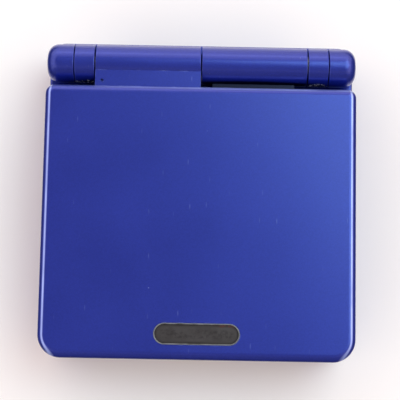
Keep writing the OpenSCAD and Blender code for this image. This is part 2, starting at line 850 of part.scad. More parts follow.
// Walls that hold the slot's shield, the battery and the triggers' pins
module bottom_shell_ribs() {
    root = floor_t - 0.2;
    bay_l = bay_right - bay_left;
    bay_w = bay_back - bay_front;
    for (s = [-1, 1]) side(s) {
        box([slot_w / 2, base_front + wall_t + 0.15, root],
            [slot_w / 2 + rib_t, slot_back + connector_d, shield_z]);
        hole(trigger_at, root, trigger_z - trigger_gap, 2);
        box([trigger_in - 0.9 - rib_t, trigger_at[1] - 3.2, root],
            [trigger_in - 0.9, base_back - 0.5, base_seam_z - 0.3]);
    }
    translate([0, 0, root]) linear_extrude(bay_wall_h) difference() {
        translate([bay_left - rib_t, bay_front - rib_t])
            square([bay_l + 2 * rib_t, bay_w + 2 * rib_t]);
        translate([bay_left, bay_front]) square([bay_l, bay_w]);
    }
    hole(cover_screw_at, root, 5.6, 2.3);
}

module base_bottom_shell() {
    color(case_blue) difference() {
        union() {
            bottom_shell_body();
            bottom_shell_ribs();
            for (p = case_screws_at) screw_column(p);
        }
        // Battery bay and the rebate for its cover
        box([bay_left, bay_front, -cut], [bay_right, bay_back, floor_t + 0.2]);
        translate([0, 0, -cut]) linear_extrude(cut + cover_lip_t + 0.05) cover_outline(0.12);
        hole(cover_screw_at, -cut, 5, screw_r + screw_play);
        // Case screws, deep in their columns
        for (p = case_screws_at) {
            hole(p, -cut, case_screw_z, screw_head_r + 0.35);
            hole(p, 0, base_seam_z + cut, screw_r + 0.15);
        }
        for (s = [-1, 1]) {
            side(s) hole(trigger_at, floor_t + 0.4, 6, pin_r + screw_play);
            trigger_pocket(s, trigger_z - trigger_gap, base_seam_z + cut);
        }
        // Slot, with a half-round notch for the thumb
        box([-slot_w / 2, base_front - cut, floor_t],
            [slot_w / 2, base_front + 3 * wall_t, base_seam_z + cut]);
        hole([0, base_front - 1], -cut, floor_t + 0.2, 8.5);
        socket_windows();
        slider_scoops();
        strap_eye();
        grip_grooves();
    }
}

// Two holes in the back wall with a bar between them
module strap_eye() {
    eye_x = -trigger_in + 4.4;
    for (x = [-1.7, 1.7])
        box([eye_x + x - 0.9, base_back - 3, 2.7], [eye_x + x + 0.9, body_l, 5.3]);
}

// Rows of shallow grooves on the underside, behind the slot's notch
module grip_grooves() {
    for (i = [0:4]) translate([0, base_front + 13 + 2 * i, -0.6])
        linear_extrude(0.85) stadium(16 - 1.4 * i, 0.9);
}

module cover_outline(play) {
    x0 = bay_left - cover_rim - play;
    x1 = cover_end + play;
    y0 = bay_front - cover_rim - play;
    y1 = bay_back + cover_rim + play;
    translate([(x0 + x1) / 2, (y0 + y1) / 2]) round_rect(x1 - x0, y1 - y0, 2.5);
}

module battery_cover() {
    plug_gap = 0.15;
    color(case_blue) difference() {
        union() {
            linear_extrude(cover_lip_t) cover_outline(0);
            box([bay_left + plug_gap, bay_front + plug_gap, 0],
                [bay_right - plug_gap, bay_back - plug_gap, floor_t]);
        }
        hole(cover_screw_at, -cut, 3, screw_r + 0.15);
        hole(cover_screw_at, -cut, 0.35, screw_head_r + 0.3);
        // Thumb grooves
        for (i = [0:2]) translate([bay_left + 5 + 1.8 * i, cover_screw_at[1], -0.6])
            rotate([0, 0, 90]) linear_extrude(0.8) stadium(12, 0.9);
    }
}

module battery_cover_screw() {
    head_z = 0.05;
    color(steel) difference() {
        union() {
            hole(cover_screw_at, head_z, head_z + 0.3, screw_head_r);
            hole(cover_screw_at, head_z, 4.6, screw_r);
        }
        translate([cover_screw_at[0], cover_screw_at[1], -cut])
            linear_extrude(cut + 0.25) cross_recess();
    }
}

// ---- Inside the base ----

module battery_pack() {
    inset = battery_play - 0.1;
    contact_y = bay_back - 9;
    color(pack_grey) difference() {
        translate([bay_left + inset, bay_front + inset, floor_t + 0.1])
            cube([battery_l, battery_w, battery_h]);
        for (i = [0:2])
            translate([bay_right - battery_play - 0.8, contact_y + contact_pitch * i, floor_t + 2])
                cube([2, contact_w + 0.4, 5]);
    }
}

// Spring contacts: flat fingers that hang from the board beside the pack
module battery_contacts() {
    finger_h = board_z - floor_t - battery_h + 3;
    foot = 1.2;
    color(gold) for (i = [0:2])
        translate([bay_right - battery_play - 0.6, bay_back - 8.8 + contact_pitch * i,
            board_z - finger_h]) {
            cube([0.3, contact_w, finger_h]);
            translate([-0.05, 0, 0]) cube([0.35, contact_w, foot]);
        }
}

module case_screws() {
    length = panel_under - 1 - case_screw_z;
    color(steel) for (p = case_screws_at) screw(p, case_screw_z - screw_head_h, length);
}

// The board fills the case, and is cut back round the screw columns and the speaker
module board_outline() {
    side_in = 3.5;
    front_in = 9.1;
    back_side_in = 8;
    difference() {
        union() {
            translate([side_in - body_w / 2, base_front + front_in])
                square([body_w - 2 * side_in, lid_back - 7 - base_front - front_in]);
            translate([back_side_in - body_w / 2, 0])
                square([body_w - 2 * back_side_in, back_shelf - 0.6]);
            translate([-16, 0]) square([32, back_shelf + 3.4]);
        }
        for (p = case_screws_at) translate([p[0], p[1]]) circle(column_r + 0.4);
        translate(speaker_at) circle(speaker_r + 0.6);
        for (p = board_screws_at) translate([p[0], p[1]]) circle(screw_r + 0.15);
        translate([bay_right - battery_play - 1, bay_back - 9.2]) square([1.2, 7.6]);
    }
}

module main_board() {
    color(board_green) translate([0, 0, board_z]) linear_extrude(board_t) board_outline();
}

// Chips under the board, and a row of round capacitors
module board_chips() {
    chips = [
        [[bay_left + 17.6, 7], [14, 14, 1.1]], [[bay_left + 35.6, 9], [7, 11, 1.0]],
        [[bay_left + 1.6, 8], [9, 9, 1.0]], [[bay_right + 5.5, 4], [8, 8, 2.2]]
    ];
    color(dark_plastic) {
        for (c = chips) translate([c[0][0], bay_front + c[0][1], board_z - c[1][2]]) cube(c[1]);
        for (i = [0:3]) hole([bay_right + 16.5, bay_front + 3 + 4 * i], board_z - 1.6, board_z, 1.3);
    }
}

module board_screws() {
    length = panel_under - 0.4 - board_z;
    color(steel) for (p = board_screws_at) screw(p, board_z - screw_head_h, length);
}

// Folded steel sheet over the slot
module slot_shield() {
    half_w = slot_w / 2 + rib_t + 0.5;
    color(steel) {
        box([-half_w, base_front + wall_t + 0.4, shield_z],
            [half_w, slot_back + connector_d - 0.6, shield_z + shield_t]);
        for (s = [-1, 1]) side(s)
            box([half_w - shield_t, base_front + wall_t + 3, shield_z - 3],
                [half_w, slot_back, shield_z + 0.05]);
    }
}

// Left edge of one of the slot's contacts
function pin_x(i, w) = (i - (pin_count - 1) / 2) * pin_pitch - w / 2;

module slot_connector() {
    half_w = 27.5;
    groove_w = 0.9;
    color(dark_plastic) difference() {
        box([-half_w, slot_back, floor_t + 0.6],
            [half_w, slot_back + connector_d, shield_z - 0.05]);
        box([1.5 - half_w, slot_back - cut, floor_t + 2.2],
            [half_w - 1.5, slot_back + 1.6, shield_z - 2.2]);
        for (i = [0:pin_count - 1])
            translate([pin_x(i, groove_w), slot_back - cut, floor_t + 2.0])
                cube([groove_w, connector_d - 0.4 + cut, 0.9]);
    }
}

module slot_contacts() {
    pin_w = 0.6;
    color(gold) for (i = [0:pin_count - 1])
        translate([pin_x(i, pin_w), slot_back - 0.8, floor_t + 2.15])
            cube([pin_w, connector_d, 0.5]);
}

// A socket whose mouth faces +Y, with a contact tongue, hung under the board
module socket(x, size) {
    x0 = x - size[0] / 2;
    x1 = x + size[0] / 2;
    y0 = base_back - size[1];
    z0 = board_z - size[2];
    z_mid = board_z - size[2] / 2;
    difference() {
        box([x0, y0, z0], [x1, base_back - 0.5, board_z - 0.01]);
        box([x0 + socket_wall, y0 + 1.2, z0 + socket_wall],
            [x1 - socket_wall, base_back + cut, board_z - socket_wall]);
    }
    box([x0 + 1.7, y0 + 1, z_mid - 0.4], [x1 - 1.7, base_back - 2, z_mid + 0.4]);
}

module link_socket() {
    color(dark_plastic) socket(link_x, link_size);
}

module power_socket() {
    color(dark_plastic) socket(power_x, power_size);
}

// Speaker: a magnet pot below a basket, with a dished cone on top
module speaker() {
    pot_r = 5;
    basket_r = 7.4;
    color(dark_plastic) translate([speaker_at[0], speaker_at[1], panel_under - 0.1 - speaker_h])
        rotate_extrude() polygon([
            [0, 0.4], [pot_r, 0.4], [pot_r, 0], [basket_r, 0], [basket_r, 0.9], [speaker_r, 0.9],
            [speaker_r, speaker_h], [speaker_r - 0.9, speaker_h], [speaker_r - 1.4, speaker_h - 0.5],
            [2.6, speaker_h - 0.9], [0, speaker_h - 0.5]
        ]);
}

// A rubber dome: thin cone with a solid top, on the board
module dome(at, r, h) {
    translate([at[0], at[1], board_top]) rotate_extrude()
        polygon([[0, dome_skirt], [0.55 * r, dome_skirt], [0.9 * r, 0], [r, 0], [0.66 * r, h], [0, h]]);
}

module membrane_sheet() {
    translate([0, 0, board_top]) linear_extrude(sheet_t) children();
}

module dpad_membrane() {
    color(rubber_grey) difference() {
        union() {
            membrane_sheet() translate(dpad_at) round_rect(21, 21, 6);
            for (a = [0:90:270])
                dome(dpad_at + dpad_dome_at * [cos(a), sin(a)], dpad_dome_r, 0.85);
        }
        hole(dpad_at, board_top - cut, board_top + 3, 1.7);
        for (a = [0:90:270])
            hole(dpad_at + dpad_dome_at * [cos(a), sin(a)],
                board_top - cut, board_top + sheet_t + 0.01, 1.4);
    }
}

// A membrane with a dome at each place; its sheet's outline is given as a child
module key_membrane(places, r) {
    difference() {
        union() {
            membrane_sheet() children();
            for (p = places) dome(p, r, dome_h);
        }
        for (p = places) hole(p, board_top - cut, board_top + sheet_t + 0.05, 0.5 * r);
    }
}

module action_key_membrane() {
    d = key_a_at - key_b_at;
    sheet_w = 10.4;
    color(rubber_grey) key_membrane([key_a_at, key_b_at], 4.2)
        translate((key_a_at + key_b_at) / 2) rotate([0, 0, atan2(d[1], d[0])])
            stadium(norm(d) + sheet_w, sheet_w);
}

module menu_key_membrane() {
    sheet_w = 7.2;
    color(rubber_grey) key_membrane([start_at, select_at], 2.6)
        translate((start_at + select_at) / 2) stadium(norm(start_at - select_at) + sheet_w, sheet_w);
}

module light_key_membrane() {
    color(rubber_grey) key_membrane([light_at], 2.6) translate(light_at) round_rect(7, 7, 2);
}

// Slide control on the board's edge, grooved for its slider's stem
module side_control(l) {
    outer_x = base_x - wall_t - 0.3;
    groove_l = slider_travel + 1.6;
    groove_h = slider_stem[1] / 2 + 0.15;
    difference() {
        box([outer_x - control_w, slider_y - l / 2, board_top],
            [outer_x, slider_y + l / 2, slider_z + 1.0]);
        box([outer_x - 1.3, slider_y - groove_l, slider_z - groove_h],
            [base_x, slider_y + groove_l, slider_z + groove_h]);
    }
}

module volume_control() {
    color(dark_plastic) side(-1) side_control(15);
}

module power_switch() {
    color(steel) side_control(13.4);
}

// Pad and stem of a side slider, at offset y from the middle of its slot
module side_slider(y) {
    grip_pitch = 0.8;
    grip_w = 0.35;
    middle = slider_y + y;
    difference() {
        union() {
            box([base_x - wall_t - 1.2, middle - slider_stem[0] / 2, slider_z - slider_stem[1] / 2],
                [base_x - slider_scoop + 0.4, middle + slider_stem[0] / 2,
                    slider_z + slider_stem[1] / 2]);
            translate([base_x - slider_scoop + 0.1, middle, slider_z]) rotate([0, 90, 0])
                linear_extrude(0.9) rotate([0, 0, 90]) stadium(slider_l, slider_w);
        }
        for (i = [-2:2]) translate([base_x + 0.1, middle + grip_pitch * i, slider_z])
            rotate([0, 0, 45]) cube([grip_w, grip_w, 4], center = true);
    }
}

module volume_slider() {
    color(rubber_grey) side(-1) side_slider(0);
}

module power_slider() {
    color(rubber_grey) side_slider(-switch_travel / 2);
}

module status_lights() {
    color(light_white) for (y = light_pipe_y)
        translate([base_x - 4.6, y - status_light_w / 2, board_top])
            cube([status_light_w, status_light_w, pipe_z - board_top - 0.1]);
}

module light_pipes() {
    color(pipe_green) for (y = light_pipe_y)
        box([base_x - pipe_size[0], y - pipe_size[1] / 2, pipe_z],
            [base_x - 0.02, y + pipe_size[1] / 2, pipe_z + pipe_size[2]]);
}

// ---- Hinge pieces in the base ----

// Round end cap: its hub plugs the knuckle, and stops short of the ribbon on the right
module hinge_cap(s) {
    hub_l = s < 0 ? 0.35 : 0.2;
    color(case_blue) side(s) difference() {
        union() {
            barrel_piece(cap_x + cap_seam, body_w / 2, barrel_edge_r, cap_edge_r);
            on_axis(cap_x - hub_l, cap_x + 2 * cap_seam, knuckle_bore - fit);
        }
        on_axis(cap_x - cut, cap_x + cap_l - 3, knuckle_bore - 1.2);
    }
}

module hinge_cap_left() {
    hinge_cap(-1);
}

module hinge_cap_right() {
    hinge_cap(1);
}

// Shaft of the clutch, keyed into the left knuckle by its flanged head
module hinge_shaft() {
    color(steel) {
        on_axis(-cap_x + 0.4, -barrel_x - 0.35, bush_r);
        on_axis(-barrel_x - 0.5, -barrel_x + clutch_bore_l - 0.4, shaft_r);
    }
}

// Hollow bush that carries the right half of the barrel and lets the ribbon through
module hinge_bush() {
    color(steel) difference() {
        on_axis(barrel_x - 1.9, cap_x - 2.6, bush_r);
        on_axis(barrel_x - 1.9 - cut, cap_x - 2.6 + cut, shaft_r + 0.1);
    }
}

// Ribbon in the base: through the bush, down behind the knuckle and forward to its socket
module board_ribbon() {
    x0 = cap_x - 2.3;
    x1 = cap_x - 0.5;
    y0 = hinge_y - ribbon_t / 2;
    low = board_top + 0.6;
    color(gold) {
        box([ribbon_x[1] + 0.6, y0, hinge_z - 1.6], [x1, y0 + ribbon_t, hinge_z + 1.6]);
        box([x0, y0, low], [x1, y0 + ribbon_t, hinge_z]);
        box([x0, back_shelf - 2.8, low], [x1, y0 + ribbon_t, low + ribbon_t]);
    }
}

module ribbon_socket() {
    color(socket_cream) difference() {
        box([cap_x - 5, back_shelf - 4.6, board_top], [cap_x - 1.3, back_shelf - 1.2, board_top + 1.3]);
        box([cap_x - 2.4, back_shelf - 3, board_top + 0.5], [cap_x, back_shelf, board_top + 1]);
    }
}

// ---- Triggers ----

// The spring's centre line, seen from its axis: an arm, the turns, and a second arm
function spring_path() = let (n = coil_steps * coil_turns) concat(
    [[spring_arm, -coil_r, 0]],
    [for (i = [0:n]) let (a = -90 - 360 * i / coil_steps)
        [coil_r * cos(a), coil_r * sin(a), coil_pitch * i / coil_steps]],
    [[-spring_arm / 3, -coil_r, coil_pitch * coil_turns]]);

// Sweeps a ring of n points along a path, with its ends closed
module sweep(path, r, n) {
    last = len(path) - 1;
    function heading(i) = let (d = path[min(i + 1, last)] - path[max(i - 1, 0)]) d / norm(d);
    function across(i) = let (c = cross(heading(i), [0, 0, 1])) c / norm(c);
    rings = [for (i = [0:last], k = [0:n - 1])
        let (a = 360 * k / n, u = across(i), v = cross(heading(i), u))
        path[i] + r * (cos(a) * u + sin(a) * v)];
    walls = [for (i = [0:last - 1], k = [0:n - 1]) let (m = (k + 1) % n)
        [i * n + k, i * n + m, (i + 1) * n + m, (i + 1) * n + k]];
    first_end = [for (k = [n - 1:-1:0]) k];
    last_end = [for (k = [0:n - 1]) last * n + k];
    polyhedron(rings, concat([first_end], walls, [last_end]));
}

module trigger_springs() {
    color(steel) for (s = [-1, 1]) side(s)
        translate([trigger_at[0], trigger_at[1], coil_z]) sweep(spring_path(), coil_wire_r, 6);
}

module trigger_pins() {
    color(steel) for (s = [-1, 1]) side(s)
        hole(trigger_at, floor_t + 0.5, back_ceiling + 0.8, pin_r);
}

// Push switches on the board, whose plungers face the triggers' ribs
module trigger_switches() {
    half_w = 2.6;
    plunger_l = 1.2;
    color(steel) for (s = [-1, 1]) side(s) {
        box([switch_x - half_w, plunger_tip - 4.2, board_z - 3.2],
            [switch_x + half_w, plunger_tip - 1.1, board_z]);
        translate([switch_x, plunger_tip - plunger_l, board_z - 1.8])
            rotate([-90, 0, 0]) cylinder(r = 0.9, h = plunger_l);
    }
}

// The part of the case's back corner that a trigger fills, its upper and lower edges rounded
module trigger_skin() {
    intersection() {
        rounded_slab(base_x, base_front, base_back, trigger_z, trigger_top,
            front_r, back_r, trigger_edge_r, trigger_edge_r);
        box([trigger_in, trigger_at[1] + 1.2, trigger_z - cut],
            [trigger_out, body_l, trigger_top + cut]);
    }
}

// A shoulder trigger: a skin that continues the case's back, on a pivot boss
module trigger(s) {
    plate_t = 1;
    coil_top = coil_z + coil_pitch * coil_turns;
    color(key_grey) side(s) difference() {
        union() {
            trigger_skin();
            for (z = [trigger_z, trigger_top - plate_t])
                box([trigger_in + 1, trigger_reach, z], [trigger_out, base_back - 1, z + plate_t]);
            hole(trigger_at, trigger_z, trigger_top, trigger_boss_r);
            // Rib that presses the switch
            box([switch_x - 0.6, rib_tip, trigger_z + 0.5], [switch_x + 0.6, base_back - 1, board_top]);
        }
        hole(trigger_at, trigger_z - cut, trigger_top + cut, pin_r + screw_play);
        // Notch for the spring
        box([trigger_in - cut, trigger_reach - 2, coil_z - 0.4],
            [trigger_at[0] + 2.2, trigger_at[1] + 1.6, coil_top + 0.4]);
        // Round off the outer end
        translate([0, 0, trigger_z - cut]) linear_extrude(trigger_top - trigger_z + 2 * cut)
            difference() {
                translate([trigger_out - trigger_end_r, base_back - trigger_end_r]) square(3);
                translate([trigger_out - trigger_end_r, base_back - trigger_end_r])
                    circle(trigger_end_r);
            }
    }
}

module trigger_left() {
    trigger(-1);
}

module trigger_right() {
    trigger(1);
}

// ---- Keys ----

module dpad() {
    dish_r = 6;
    arrow_at = 5.6;
    under = dpad_flange_top - dpad_flange_t;
    color(key_grey) difference() {
        union() {
            translate([dpad_at[0], dpad_at[1], dpad_flange_top - 0.1])
                linear_extrude(key_top - dpad_flange_top + 0.1) dpad_outline(0);
            hole(dpad_at, under, dpad_flange_top, dpad_flange_r);
        }
        // Dished middle, and an arrow groove on each arm
        translate([dpad_at[0], dpad_at[1], key_top + dish_r - 0.4]) sphere(r = dish_r, $fn = 64);
        for (a = [0:90:270]) translate([dpad_at[0], dpad_at[1], key_top - 0.2])
            rotate([0, 0, a]) translate([arrow_at, 0, 0])
                linear_extrude(cut) polygon([[0, -1.1], [1.9, 0], [0, 1.1]]);
        hole(dpad_at, under - cut, under + 0.35, 1.6);
    }
}

// Rubber nub in the middle of the direction pad's membrane, on which the pad rocks
module dpad_pivot_nub() {
    color(rubber_grey) translate([dpad_at[0], dpad_at[1], board_top]) rotate_extrude()
        polygon([[0, 0.05], [0.5, 0.05], [1.3, 0.4], [1.1, nub_h - 0.3], [0.5, nub_h], [0, nub_h]]);
}

// A round key with a flange below the panel and a slightly crowned top
module round_key(at, r, top) {
    shoulder = [
        [0, key_under], [r + key_flange, key_under], [r + key_flange, key_flange_top],
        [r, key_flange_top]
    ];
    crown = arc(r - key_edge_r, top - 0.1 - key_edge_r, key_edge_r, 0, 70, 4);
    translate([at[0], at[1], 0]) rotate_extrude() polygon(concat(shoulder, crown, [[0, top]]));
}

module action_key_a() {
    color(key_grey) round_key(key_a_at, key_r, key_top);
}

module action_key_b() {
    color(key_grey) round_key(key_b_at, key_r, key_top);
}

module start_key() {
    color(key_grey) round_key(start_at, small_key_r, key_top - 0.3);
}

module select_key() {
    color(key_grey) round_key(select_at, small_key_r, key_top - 0.3);
}

module light_key() {
    color(key_grey) round_key(light_at, small_key_r, key_top - 0.3);
}

lid_outer_shell();
lid_badge();
lid_bezel();
screen_lens();
screen_gasket();
light_guide();
lcd_panel();
lcd_holder();
lid_screws();
lid_screw_plugs();
hinge_barrel_cover();
hinge_clutch();
display_ribbon();
base_top_shell();
base_bottom_shell();
battery_cover();
battery_cover_screw();
battery_pack();
battery_contacts();
case_screws();
main_board();
board_chips();
board_screws();
slot_shield();
slot_connector();
slot_contacts();
link_socket();
power_socket();
speaker();
dpad_membrane();
action_key_membrane();
menu_key_membrane();
light_key_membrane();
volume_control();
power_switch();
status_lights();
light_pipes();
hinge_cap_left();
hinge_cap_right();
hinge_shaft();
hinge_bush();
board_ribbon();
ribbon_socket();
trigger_springs();
trigger_pins();
trigger_switches();
dpad();
dpad_pivot_nub();
action_key_a();
action_key_b();
start_key();
select_key();
light_key();
trigger_left();
trigger_right();
power_slider();
volume_slider();
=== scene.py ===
import math

import bpy
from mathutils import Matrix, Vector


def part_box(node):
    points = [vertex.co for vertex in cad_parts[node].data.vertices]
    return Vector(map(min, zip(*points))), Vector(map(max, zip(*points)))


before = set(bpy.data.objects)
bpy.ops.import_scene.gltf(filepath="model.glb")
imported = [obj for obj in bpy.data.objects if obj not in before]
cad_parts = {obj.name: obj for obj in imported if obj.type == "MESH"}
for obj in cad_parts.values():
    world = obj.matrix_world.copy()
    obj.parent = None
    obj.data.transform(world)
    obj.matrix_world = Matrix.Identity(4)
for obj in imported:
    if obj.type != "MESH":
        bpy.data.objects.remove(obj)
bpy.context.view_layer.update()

MM = 0.001

# Camera, looking down on the closed lid from in front of its middle, with its angles in degrees
CAMERA_AT = (0.07 * MM, -42.0 * MM, 345.2 * MM)
CAMERA_TILT = 7.27
CAMERA_ROLL = -0.17
CAMERA_TURN = 1.07
CAMERA_FIELD = 18.23

# Brightness of the room's walls and ceiling, where white is 1
FRONT_LIGHT = 1.2
BACK_LIGHT = 1.38
CEILING_LIGHT = 0.3

# Sizes and places that the finishes follow, in mm
EDGE_SOFTNESS = 0.12  # radius that a moulding tool leaves on every outer edge
WINDOW_INSET = 2.4  # how far the gasket's outline stands outside the lens's clear window
LID_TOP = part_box("lid_outer_shell")[1].z / MM
LID_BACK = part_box("lid_bezel")[1].y / MM
BARREL_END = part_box("hinge_barrel_cover")[1].x / MM
cap_low, cap_high = (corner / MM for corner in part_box("hinge_cap_right"))
AXIS_HEIGHT = (cap_low.z + cap_high.z) / 2
HINGE_GAP = (BARREL_END / 2, cap_low.y - 0.5, AXIS_HEIGHT)  # between barrel and lid
HINGE_GAP_REACH = (24.0, 2.4, 3.2)
KNUCKLE_RUB = (cap_low.x - 2.5, cap_low.y, AXIS_HEIGHT + 0.7)  # front of the knuckle by the cap
KNUCKLE_RUB_REACH = (2.9, 0.9, 1.5)

# Sockets of the Mix node when it mixes colours, and when it mixes numbers
FACTOR, COLOUR_A, COLOUR_B, MIXED = 0, 6, 7, 2
NUMBER_A, NUMBER_B = 2, 3

# A Map Range node takes input 0 from the range between inputs 1 and 2 to the range between
# inputs 3 and 4, and either range is 0 to 1 where it isn't given


# ---- Nodes ----

def linear(code):
    """The linear colour of an sRGB hex value."""
    channels = [int(code[i:i + 2], 16) / 255 for i in (1, 3, 5)]
    return [c / 12.92 if c <= 0.04045 else ((c + 0.055) / 1.055) ** 2.4 for c in channels] + [1]


def add(tree, kind, inputs=None, **settings):
    """Adds a node, sets its properties, and gives each input a value or a link."""
    made = tree.nodes.new("ShaderNode" + kind)
    for name, value in settings.items():
        setattr(made, name, value)
    for name, value in (inputs or {}).items():
        if isinstance(value, bpy.types.NodeSocket):
            tree.links.new(value, made.inputs[name])
        else:
            made.inputs[name].default_value = value
    return made


def surface(name, colour, roughness, metallic=0.0, ior=1.5):
    """A material with one Principled shader, and its coordinates in millimetres."""
    material = bpy.data.materials.new(name)
    material.use_nodes = True
    tree = material.node_tree
    shader = tree.nodes["Principled BSDF"]
    shader.inputs["Base Color"].default_value = linear(colour)
    shader.inputs["Roughness"].default_value = roughness
    shader.inputs["Metallic"].default_value = metallic
    shader.inputs["IOR"].default_value = ior
    place = add(tree, "TexCoord").outputs["Object"]
    mm = add(tree, "VectorMath", {0: place, "Scale": 1 / MM}, operation="SCALE").outputs[0]
    return material, tree, shader, mm


def relief(tree, shader, height, depth):
    """Lets a height pattern, depth in mm, shape the surface over its softened edges."""
    softened = add(tree, "Bevel", {"Radius": EDGE_SOFTNESS * MM}, samples=4).outputs["Normal"]
    bump = add(tree, "Bump", {"Height": height, "Distance": depth * MM, "Normal": softened})
    tree.links.new(bump.outputs["Normal"], shader.inputs["Normal"])


def edge_wear(tree, mm, width, breadth):
    """1 on rubbed outer edges and 0 elsewhere, broken up along the edge every few millimetres."""
    rounded = add(tree, "Bevel", {"Radius": width * MM}, samples=6).outputs["Normal"]
    flat = add(tree, "NewGeometry").outputs["Normal"]
    turned = add(tree, "VectorMath", {0: rounded, 1: flat},
                 operation="DOT_PRODUCT").outputs["Value"]
    edge = add(tree, "MapRange", {0: turned, 1: 0.99, 2: 0.86}).outputs[0]
    patches = add(tree, "TexNoise", {"Vector": mm, "Scale": 1 / breadth, "Detail": 4.0}).outputs[0]
    patchy = add(tree, "MapRange", {0: patches, 1: 0.48, 2: 0.66}).outputs[0]
    return add(tree, "Math", {0: edge, 1: patchy}, operation="MULTIPLY").outputs[0]


def rim_painted_highlight(tree, mm):
    """A painted highlight along the lid's rounded rim, on its sides and back: 0 to 0.85."""
    facing = add(tree, "SeparateXYZ", {0: add(tree, "TexCoord").outputs["Normal"]})
    spot = add(tree, "SeparateXYZ", {0: mm})

    # On the sides, a band where the rim has turned 20 to 25 degrees outwards
    sideways = add(tree, "Math", {0: facing.outputs[0]}, operation="ABSOLUTE").outputs[0]
    inner = add(tree, "MapRange", {0: sideways, 1: 0.2, 2: 0.34}).outputs[0]
    outer = add(tree, "MapRange", {0: sideways, 1: 0.56, 2: 0.43}).outputs[0]
    sides = add(tree, "Math", {0: inner, 1: outer}, operation="MULTIPLY").outputs[0]

    # Along the back, more and more towards the right, where the light comes from
    backward = add(tree, "MapRange", {0: facing.outputs[1], 1: 0.5, 2: 0.75}).outputs[0]
    rightward = add(tree, "MapRange", {
        0: spot.outputs[0], 1: -38.0, 2: 12.0, 3: 0.2, 4: 0.75,
    }).outputs[0]
    back = add(tree, "Math", {0: backward, 1: rightward}, operation="MULTIPLY").outputs[0]
    band = add(tree, "Math", {0: sides, 1: back}, operation="MAXIMUM").outputs[0]

    # Only at the top of the lid, and not on the barrel
    on_lid = add(tree, "MapRange", {
        0: spot.outputs[1], 1: LID_BACK + 0.3, 2: LID_BACK + 0.1,
    }).outputs[0]
    on_top = add(tree, "MapRange", {
        0: spot.outputs[2], 1: LID_TOP - 2.1, 2: LID_TOP - 1.5,
    }).outputs[0]
    rim = add(tree, "Math", {0: on_lid, 1: on_top}, operation="MULTIPLY").outputs[0]

    # The painted highlight is broken up into patches some 12 mm across
    patches = add(tree, "TexNoise", {"Vector": mm, "Scale": 1 / 12.0, "Detail": 3.0}).outputs[0]
    patchy = add(tree, "MapRange", {0: patches, 1: 0.35, 2: 0.6, 3: 0.5, 4: 0.85}).outputs[0]
    edge_marked = add(tree, "Math", {0: band, 1: patchy}, operation="MULTIPLY").outputs[0]
    return add(tree, "Math", {0: edge_marked, 1: rim}, operation="MULTIPLY").outputs[0]


def inside(tree, mm, centre, reach, fade=0.2):
    """1 within an ellipsoid and its mirror image left to right, fading to 0 at their surface.

    The ellipsoid goes as far as reach from its centre along x, y and z.
    """
    spot = add(tree, "SeparateXYZ", {0: mm})
    aside = add(tree, "Math", {0: spot.outputs[0]}, operation="ABSOLUTE").outputs[0]
    folded = add(tree, "CombineXYZ", {
        0: aside, 1: spot.outputs[1], 2: spot.outputs[2],
    }).outputs[0]
    offset = add(tree, "VectorMath", {0: folded, 1: centre}, operation="SUBTRACT").outputs[0]
    scaled = add(tree, "VectorMath", {0: offset, 1: reach}, operation="DIVIDE").outputs[0]
    share = add(tree, "VectorMath", {0: scaled}, operation="LENGTH").outputs["Value"]
    return add(tree, "MapRange", {0: share, 1: 1.0, 2: 1.0 - fade}).outputs[0]


# ---- Materials ----

